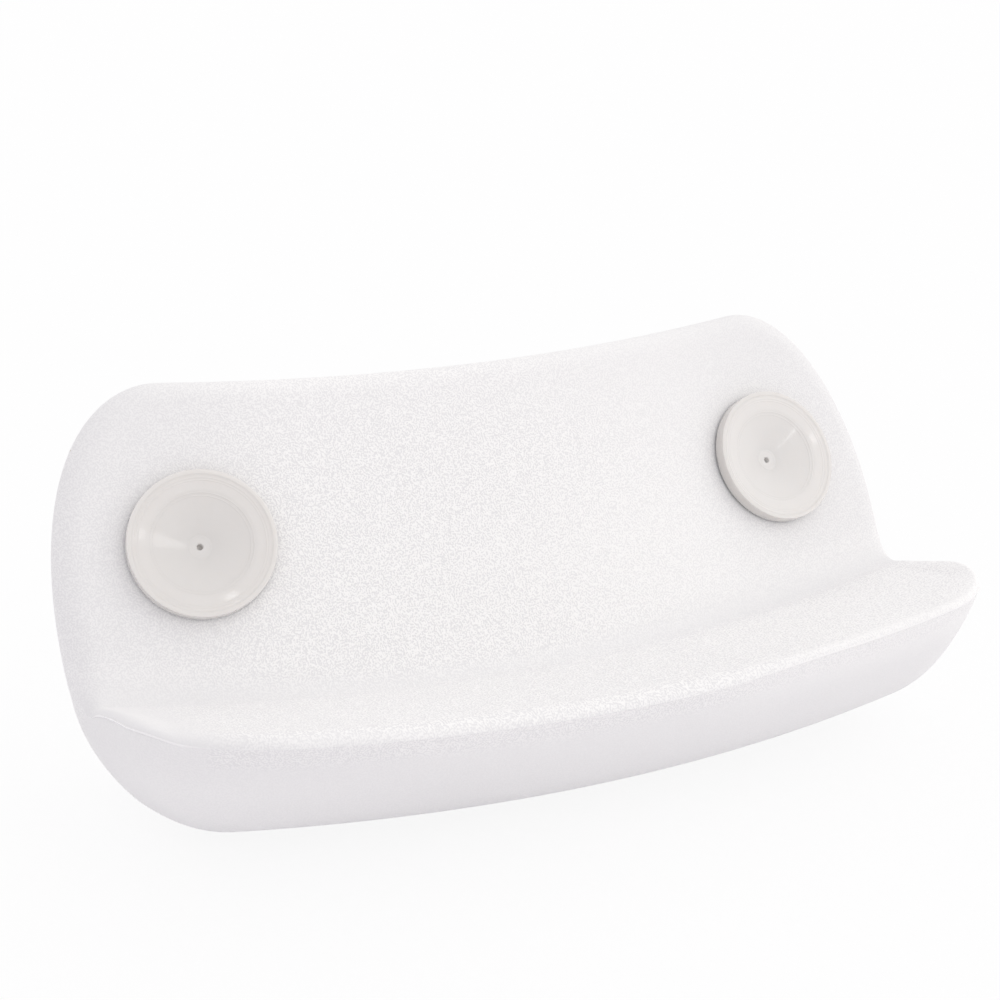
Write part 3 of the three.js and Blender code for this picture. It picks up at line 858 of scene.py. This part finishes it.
def ridges(nodes):
    """The height of short ridges that wind among hollows of the same width, from 0 to 1.

    It is the change of a fine noise over a short step, whose direction turns slowly from patch to patch.
    """
    turn = nodes.noise(RIDGE_PATCH, detail=0.0, output="Color")
    centred = nodes.vector_math("SUBTRACT", {0: turn, 1: NOISE_MIDDLE})
    way = nodes.vector_math("NORMALIZE", {0: centred})
    step = nodes.vector_math("SCALE", {0: way, "Scale": RIDGE_STEP})
    here = nodes.vector_math("MULTIPLY", {0: nodes.coordinates, 1: GRAIN_STRETCH})
    waves = []
    for side in ("ADD", "SUBTRACT"):
        place = nodes.vector_math(side, {0: here, 1: step})
        waves.append(nodes.noise(RIDGE_CELL, place, detail=0.0))
    change = nodes.math("SUBTRACT", *waves)
    return nodes.ramp(change, (-RIDGE_SPREAD, RIDGE_SPREAD), (0.0, 1.0), interpolation_type="SMOOTHSTEP")


def leather(nodes):
    """The height of a leather grain, about 0 to 1.

    It is flat where the skin has no relief. Painted shade lowers it and so darkens the skin's colour, and
    painted light, a shade below 0, raises it.
    """
    relief, shade = nodes.attribute("relief"), nodes.attribute("shade")
    uneven = nodes.math("MULTIPLY", nodes.math("SUBTRACT", ridges(nodes), GRAIN_LEVEL), relief)
    return nodes.math("ADD", uneven, nodes.math("SUBTRACT", GRAIN_LEVEL, shade))


def skin_material():
    nodes = Nodes("grained_foam_skin")
    grain = leather(nodes)
    pores = nodes.noise(PORE_CELL, detail=2.0)
    nodes.connect("Normal", nodes.bump(pores, PORE_DEPTH, nodes.bump(grain, GRAIN_DEPTH)))
    # The colour is painted shade in the grain's hollows and wherever the shade attribute darkens the skin.
    nodes.connect("Base Color", nodes.colours(grain, SKIN_HOLLOW, SKIN_WHITE))
    nodes.connect("Roughness", nodes.ramp(grain, (0.0, 1.0), SKIN_ROUGHNESS))
    nodes.set(IOR=SKIN_IOR)
    return nodes.material


def bead_material():
    nodes = Nodes("polished_parting_bead")
    cloud = nodes.noise(CLOUD_SIZE)
    nodes.connect("Base Color", nodes.colours(cloud, BEAD_DULL, BEAD_WHITE))
    nodes.connect("Roughness", nodes.ramp(cloud, CLOUD_RANGE, BEAD_ROUGHNESS))
    nodes.set(IOR=BEAD_IOR)
    return nodes.material


def foam_material():
    nodes = Nodes("soft_foam")
    values = {"Vector": nodes.coordinates, "Scale": 1 / FOAM_CELL}
    cells = nodes.add("ShaderNodeTexVoronoi", values).outputs["Distance"]
    nodes.connect("Normal", nodes.bump(cells, FOAM_DEPTH))
    nodes.connect("Base Color", nodes.colours(cells, FOAM_PORE, FOAM_CREAM))
    nodes.set(Roughness=FOAM_ROUGHNESS)
    return nodes.material


def socket_material():
    nodes = Nodes("moulded_white_plastic")
    cloud = nodes.noise(CLOUD_SIZE)
    nodes.connect("Base Color", nodes.colours(cloud, PLASTIC_GREY, PLASTIC_WHITE))
    nodes.connect("Roughness", nodes.ramp(cloud, CLOUD_RANGE, PLASTIC_ROUGHNESS))
    nodes.connect("Normal", nodes.bump(nodes.noise(PORE_CELL), PORE_DEPTH / 2))
    return nodes.material


def spread_normal(nodes):
    """The way the vinyl faces for the light that spreads inside it: on its face, towards the cup's axis."""
    settings = {"vector_type": "VECTOR", "convert_from": "OBJECT", "convert_to": "WORLD"}
    values = {"Vector": nodes.attribute("axis", "Vector")}
    axis = nodes.add("ShaderNodeVectorTransform", values, **settings).outputs["Vector"]
    own = nodes.add("ShaderNodeNewGeometry").outputs["Normal"]
    return nodes.vector_math("NORMALIZE", {0: nodes.vector_math("ADD", {0: own, 1: axis})})


def cup_material():
    nodes = Nodes("milky_soft_vinyl")
    cloud = nodes.noise(CLOUD_SIZE, detail=2.0)
    milk = nodes.colours(cloud, VINYL_CLOUD, VINYL_MILK)
    # The attribute depth is painted shade, which darkens the vinyl on the outer wall, the lip and the left
    # cup's face.
    nodes.connect("Base Color", nodes.colours(nodes.attribute("depth"), milk, VINYL_PAINTED_SHADE))
    nodes.connect("Normal", spread_normal(nodes))
    nodes.connect("Roughness", nodes.ramp(cloud, CLOUD_RANGE, VINYL_ROUGHNESS))
    nodes.connect("Coat Normal", nodes.bump(nodes.noise(MOULD_RIPPLE, detail=1.0), RIPPLE_DEPTH))
    nodes.set(Coat_Weight=1, Coat_IOR=COAT_IOR, Coat_Roughness=COAT_ROUGHNESS, Specular_IOR_Level=0)
    nodes.set(Subsurface_Weight=MILK_WEIGHT, Subsurface_Scale=MILK_REACH)
    nodes.set(Subsurface_Radius=MILK_REACH_SHARES)
    return nodes.material


MATERIALS = {
    "skin": skin_material(),
    "bead": bead_material(),
    "foam": foam_material(),
    "socket_plastic": socket_material(),
    "cup_vinyl": cup_material(),
}


def add_piece(piece, body, node):
    """Puts a piece on its body in the place of a node, and hides that node's imported part."""
    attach(piece, body)
    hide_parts(node)


def bead_shown(x, distance):
    """How much of the bead and its groove shows: fully round the ledge's ends and along its right half."""
    ends = smoothstep(abs(x), BEAD_END_START, BEAD_END_FULL)
    right = smoothstep(x, BEAD_RIGHT_START, BEAD_RIGHT_FULL)
    return np.maximum(ends, right) * smoothstep(-distance, BEAD_CREASE_START, BEAD_CREASE_FULL)


def with_margin(grid):
    """A grid of places with one more line of places close inside each of its four edges."""

    def close_to(edge, near):
        step = near - edge
        length = np.maximum(np.linalg.norm(step, axis=-1, keepdims=True), GROOVE_WIDTH)
        return edge + step * np.minimum(GROOVE_WIDTH / length, MARGIN_SHARE)

    for _ in range(2):
        first, last = close_to(grid[:1], grid[1:2]), close_to(grid[-1:], grid[-2:-1])
        grid = np.concatenate([grid[:1], first, grid[1:-1], last, grid[-1:]])
        grid = grid.swapaxes(0, 1)
    return grid


def from_parting(places, edge):
    """How far each place lies from the nearest place on the parting line."""
    return np.array(
        [[np.sqrt(((place - edge) ** 2).sum(-1).min()) for place in column] for column in places]
    )


def tub_relief(x, distance, inside):
    """How strongly the grain stands out on the tub side."""
    away = smoothstep(abs(x - RELIEF_MIDDLE_X), RELIEF_NEAR, RELIEF_FAR)
    plate = mix(PLATE_RELIEF, PLATE_END_RELIEF, away)
    plate = plate * mix(1, PLATE_TOP_SHARE, smoothstep(distance, PLATE_HEIGHT / 2, PLATE_HEIGHT))
    ledge = mix(LEDGE_RELIEF, LEDGE_END_RELIEF, smoothstep(abs(x), RELIEF_NEAR, RELIEF_FAR))
    share = smoothstep(-distance, 0, 2 * CREASE_REACH)
    calm = CREASE_CALM_SHARE * np.exp(-((distance / CREASE_CALM_WIDTH) ** 2))
    end_calm = END_CALM_SHARE * share * smoothstep(-x, END_CALM_START, END_CALM_FULL)
    roll_calm = ROLL_CALM_SHARE * share * smoothstep(-inside, -SOFT_EDGE_WIDTH, 0)
    return mix(plate, ledge, share) * (1 - calm) * (1 - end_calm) * (1 - roll_calm)


def head_relief(x, below, head):
    """How strongly the grain stands out on the head side, at a distance below the parting line."""
    strip = STRIP_RELIEF * smoothstep(-below, -STRIP_END, -STRIP_START)
    strip = np.maximum(strip * smoothstep(x, STRIP_LEFT_END, STRIP_LEFT_START), OUTER_RELIEF)
    return np.maximum(strip, HEAD_RELIEF * smoothstep(head, *HEAD_GRAIN_SHARES))


def side_shade(x):
    """Painted shade along the ledge and its strip at the left, and painted light, below 0, at the right."""
    return PAINTED_LEFT_SHADE_SHARE * smoothstep(-x, *PAINTED_SHADE_ALONG) - PAINTED_RIGHT_LIGHT_SHARE * smoothstep(x, *PAINTED_LIGHT_ALONG)


def tub_shade(x, distance):
    """Painted shade on the tub side, and painted light where it is below 0."""
    crease = CREASE_SHADE * np.exp(-(((distance + CREASE_SHADE_DROP) / CREASE_SHADE_WIDTH) ** 2))
    across = (x - PAINTED_LIGHT_PLACE[0]) / PAINTED_LIGHT_WIDTHS[0]
    up = (distance - PAINTED_LIGHT_PLACE[1]) / PAINTED_LIGHT_WIDTHS[1]
    ledge = smoothstep(-distance, CREASE_REACH, 3 * CREASE_REACH) * side_shade(x)
    ends = PAINTED_END_SHADE_SHARE * smoothstep(distance, CREASE_REACH, 3 * CREASE_REACH)
    ends = ends * smoothstep(abs(x), *PAINTED_SHADE_ALONG)
    return crease - PAINTED_LIGHT_SHARE * np.exp(-(across**2) - up**2) + ledge + ends


def socket_cutters():
    return [
        lathe("cutter_" + name, socket_cut(), cup_matrix(side), MATERIALS["foam"])
        for name, side in SIDES.items()
    ]


def make_skin(name, outer, inner, node, turned, relief, shade):
    """A skin between an outer grid and an inner one. The tub side's has holes for the sockets."""
    vertices = np.concatenate([pressed_flat(outer).reshape(-1, 3), in_frame(inner).reshape(-1, 3)])
    piece = mesh_object(name, vertices, shell_faces(outer.shape[:2], turned), MATERIALS["skin"])
    set_attribute(piece, "relief", np.stack([relief, relief]))
    # The shade attribute is painted shade on the skin, and painted light where it is below 0.
    set_attribute(piece, "shade", np.stack([shade, shade]))
    if node == "back_skin":
        subtract(piece, socket_cutters())
    smooth_shading(piece)
    add_piece(piece, "pillow", node)


def make_tub_side(tub, normal, shift, inside, distance):
    relief, shade = tub_relief(tub[..., 0], distance, inside), tub_shade(tub[..., 0], distance)
    make_skin("tub_side_skin", tub + shift, tub - SKIN * normal + shift, "back_skin", False, relief, shade)


def make_head_side(back, normal, shift, shown, edge):
    """The head side's skin, with a margin round its edge that holds the groove beside the bead."""
    outer, inner = with_margin(back - shift), with_margin(back - SKIN * normal - shift)
    edges = np.ones(outer.shape[:2], bool)
    edges[1:-1, 1:-1] = False
    outer = outer - with_margin(shown[..., None] * GROOVE_DEPTH * normal) * edges[..., None]
    head = with_margin(np.broadcast_to(grid_rows()[2], shown.shape)[..., None])[..., 0]
    below = from_parting(outer, edge)
    relief = head_relief(outer[..., 0], below, head)
    # Painted shade in the groove beside the bead, for a dark line under it, then painted shade and light
    # along the strip below the parting line.
    shade = GROOVE_SHADE * edges * with_margin(shown[..., None])[..., 0]
    shade = shade + smoothstep(-below, -2 * STRIP_END, -STRIP_START) * side_shade(outer[..., 0])
    make_skin("head_side_skin", outer, inner, "front_skin", True, relief, shade)


def make_bead(edge, normal, out, shown):
    """A bead of skin along the parting line: a closed tube round the body, half sunk in it."""
    radius = mix(BEAD_LEAST_RADIUS, BEAD_RADIUS, shown)[:, None]
    vertices = []
    for k in range(BEAD_SIDES):
        angle = 2 * math.pi * k / BEAD_SIDES
        way = (math.cos(angle) - BEAD_SUNK_SHARE) * normal + math.sin(angle) * out
        vertices.append(edge + radius * way)
    index = np.arange(BEAD_SIDES * len(edge)).reshape(BEAD_SIDES, len(edge))
    near = np.roll(index, -1, 0)
    faces = np.stack([index, np.roll(index, -1, 1), np.roll(near, -1, 1), near], -1).reshape(-1, 4)
    piece = mesh_object("parting_bead", in_frame(np.concatenate(vertices)), faces, MATERIALS["bead"])
    smooth_shading(piece)
    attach(piece, "pillow")


def make_foam(tub, back, tub_normal, back_normal):
    """The foam that fills both skins, with a pocket for each socket."""
    depth = SKIN + FIT_GAP
    vertices, faces, *_ = closed_body(tub - depth * tub_normal, back - depth * back_normal)
    core = mesh_object("foam_filling", in_frame(vertices), faces, MATERIALS["foam"])
    subtract(core, socket_cutters())
    smooth_shading(core)
    add_piece(core, "pillow", "foam_core")


def make_body():
    tub, back, inside, way_out, distance = body_sides()
    tub_normal, back_normal = side_normals(tub, back)
    shift = (inside == 0)[..., None] * way_out * PARTING_GAP / 2
    shown = bead_shown(tub[..., 0], distance)
    rim = edge_loop(np.arange(inside.size).reshape(inside.shape))
    edge, edge_normal, edge_out = (grid.reshape(-1, 3)[rim] for grid in (tub, tub_normal, way_out))
    make_tub_side(tub, tub_normal, shift, inside, distance)
    make_head_side(back, back_normal, shift, shown, edge)
    make_bead(edge, edge_normal, edge_out, shown.ravel()[rim])
    make_foam(tub, back, tub_normal, back_normal)


def vinyl_painted_shade(place):
    """How much painted shade the vinyl takes at a vertex: 1 on the cup's outer wall, less on its lip, 0 on
    the rest.
    """
    if place.xy.length > CUP_RADIUS - LIP_ROUNDING / 4 and place.z < LIP_RISE - LIP_ROUNDING / 4:
        return 1
    on_lip = place.xy.length > CUP_RADIUS - LIP_WIDTH - LIP_STEP / 4 and place.z > LIP_RISE - LIP_STEP / 2
    return LIP_PAINTED_SHADE_SHARE if on_lip else 0


def make_socket(name, matrix):
    socket = lathe("socket_" + name, socket_profile(), matrix, MATERIALS["socket_plastic"])
    smooth_shading(socket)
    add_piece(socket, "pillow", "cup_socket_" + name)


def make_cup(name, matrix):
    """A cup with its stem, which holds the painted shade of its vinyl, as its depth, and its axis for the
    vinyl.
    """
    cup = lathe("cup_" + name, cup_profile(), matrix, MATERIALS["cup_vinyl"])
    smooth_shading(cup)
    depth = np.array([vinyl_painted_shade(matrix.inverted() @ vertex.co) for vertex in cup.data.vertices])
    set_attribute(cup, "depth", np.maximum(depth, FACE_PAINTED_SHADE_SHARES[name]))
    axis = np.array(matrix.to_3x3() @ Vector((0, 0, LIGHT_SPREAD)))
    set_attribute(cup, "axis", (1 - depth)[:, None] * axis, "FLOAT_VECTOR")
    add_piece(cup, "cup_" + name, "suction_cup_" + name)


def make_cups():
    for name, side in SIDES.items():
        make_socket(name, cup_matrix(side))
        make_cup(name, cup_matrix(side))


# The camera, at the photograph's viewing angle.
CAMERA_AZIMUTH = math.radians(-25.75)
CAMERA_ELEVATION = math.radians(18.83)
CAMERA_ROLL = math.radians(0.12)
CAMERA_DISTANCE = 0.6089
CAMERA_TARGET = (-0.01006, 0.01466, 0.0875)
CAMERA_LENS = 71.07
SENSOR_WIDTH = 36

# The floor and the world, and how much of each is plain white where it is looked at.
FLOOR_SIZE = 6.0
FLOOR_WHITE = (0.92, 0.912, 0.932, 1)
FLOOR_ROUGHNESS = 1
FLOOR_PLAIN_SHARE = 0.9
WORLD_COLOUR = (0.993, 0.975, 0.99, 1)
WORLD_STRENGTH = 0.84
WORLD_PLAIN_SHARE = 1

# Each lamp: the azimuth and the elevation of its place and its angular size, all in degrees, its strength
# and its colour. Only the lamps that are smaller than GLINT_SIZE glint on the cups.
LAMPS = {
    "key": (78, 40, 80, 0.65, (1, 1, 0.9)),
    "back": (180, 60, 40, 0.13, (1, 1, 1)),
    "window": (51, 22, 12, 0.045, (1, 1, 1)),
    "tube": (9, 17, 3, 0.009, (1, 1, 1)),
    "spot": (28, 33, 4, 0.012, (1, 1, 1)),
    "ceiling": (-4, 63, 4, 0.014, (1, 1, 1)),
}
GLINT_SIZE = 15


def direction(azimuth, elevation):
    """Towards a place seen round the object: azimuth 0 is in front of it, 90 degrees at its right."""
    level = math.cos(elevation)
    return Vector((math.sin(azimuth) * level, -math.cos(azimuth) * level, math.sin(elevation)))


def make_camera():
    data = bpy.data.cameras.new("camera")
    data.lens = CAMERA_LENS
    data.sensor_width = SENSOR_WIDTH
    camera = bpy.data.objects.new("camera", data)
    back = direction(CAMERA_AZIMUTH, CAMERA_ELEVATION)
    camera.location = Vector(CAMERA_TARGET) + CAMERA_DISTANCE * back
    upright = (-back).to_track_quat("-Z", "Y").to_matrix()
    rolled = upright @ Matrix.Rotation(CAMERA_ROLL, 3, "Z")
    camera.rotation_euler = rolled.to_euler()
    bpy.context.scene.collection.objects.link(camera)
    bpy.context.scene.camera = camera


def make_lamp(name, azimuth, elevation, size, strength, colour):
    data = bpy.data.lights.new(name, "SUN")
    data.angle = math.radians(size)
    data.energy = strength
    data.color = colour
    lamp = bpy.data.objects.new(name, data)
    lamp.visible_glossy = size < GLINT_SIZE
    towards = direction(math.radians(azimuth), math.radians(elevation))
    lamp.location = Vector(CAMERA_TARGET) + towards
    lamp.rotation_euler = (-towards).to_track_quat("-Z", "Y").to_euler()
    bpy.context.scene.collection.objects.link(lamp)


def looked_at(tree, share):
    """A share for what is looked at straight, in gloss or through something clear.

    It is 0 for the light that falls from it on other things.
    """
    path = tree.nodes.new("ShaderNodeLightPath")
    value = path.outputs["Is Camera Ray"]
    for kind in ("Is Glossy Ray", "Is Transmission Ray"):
        either = tree.nodes.new("ShaderNodeMath")
        either.operation = "MAXIMUM"
        tree.links.new(value, either.inputs[0])
        tree.links.new(path.outputs[kind], either.inputs[1])
        value = either.outputs[0]
    part = tree.nodes.new("ShaderNodeMath")
    part.operation = "MULTIPLY"
    part.inputs[1].default_value = share
    tree.links.new(value, part.inputs[0])
    return part.outputs[0]


def mix_plain_white(tree, lit, output, share):
    """Mixes plain white into a shader where it is looked at, for the white background."""
    plain = tree.nodes.new("ShaderNodeEmission")
    choose = tree.nodes.new("ShaderNodeMixShader")
    tree.links.new(looked_at(tree, share), choose.inputs[0])
    tree.links.new(lit.outputs[0], choose.inputs[1])
    tree.links.new(plain.outputs[0], choose.inputs[2])
    tree.links.new(choose.outputs[0], tree.nodes[output].inputs["Surface"])


def make_floor():
    half = FLOOR_SIZE / 2
    corners = [(-half, -half, 0), (half, -half, 0), (half, half, 0), (-half, half, 0)]
    material = bpy.data.materials.new("white_floor")
    material.use_nodes = True
    shader = material.node_tree.nodes["Principled BSDF"]
    shader.inputs["Base Color"].default_value = FLOOR_WHITE
    shader.inputs["Roughness"].default_value = FLOOR_ROUGHNESS
    mix_plain_white(material.node_tree, shader, "Material Output", FLOOR_PLAIN_SHARE)
    mesh_object("floor", corners, [(0, 1, 2, 3)], material)


def make_world():
    world = bpy.data.worlds.new("studio")
    bpy.context.scene.world = world
    world.use_nodes = True
    lit = world.node_tree.nodes["Background"]
    lit.inputs["Color"].default_value = WORLD_COLOUR
    lit.inputs["Strength"].default_value = WORLD_STRENGTH
    mix_plain_white(world.node_tree, lit, "World Output", WORLD_PLAIN_SHARE)


make_camera()
make_body()
make_cups()
make_floor()
make_world()
for lamp, values in LAMPS.items():
    make_lamp(lamp, *values)
bpy.context.scene.view_settings.view_transform = "Standard"
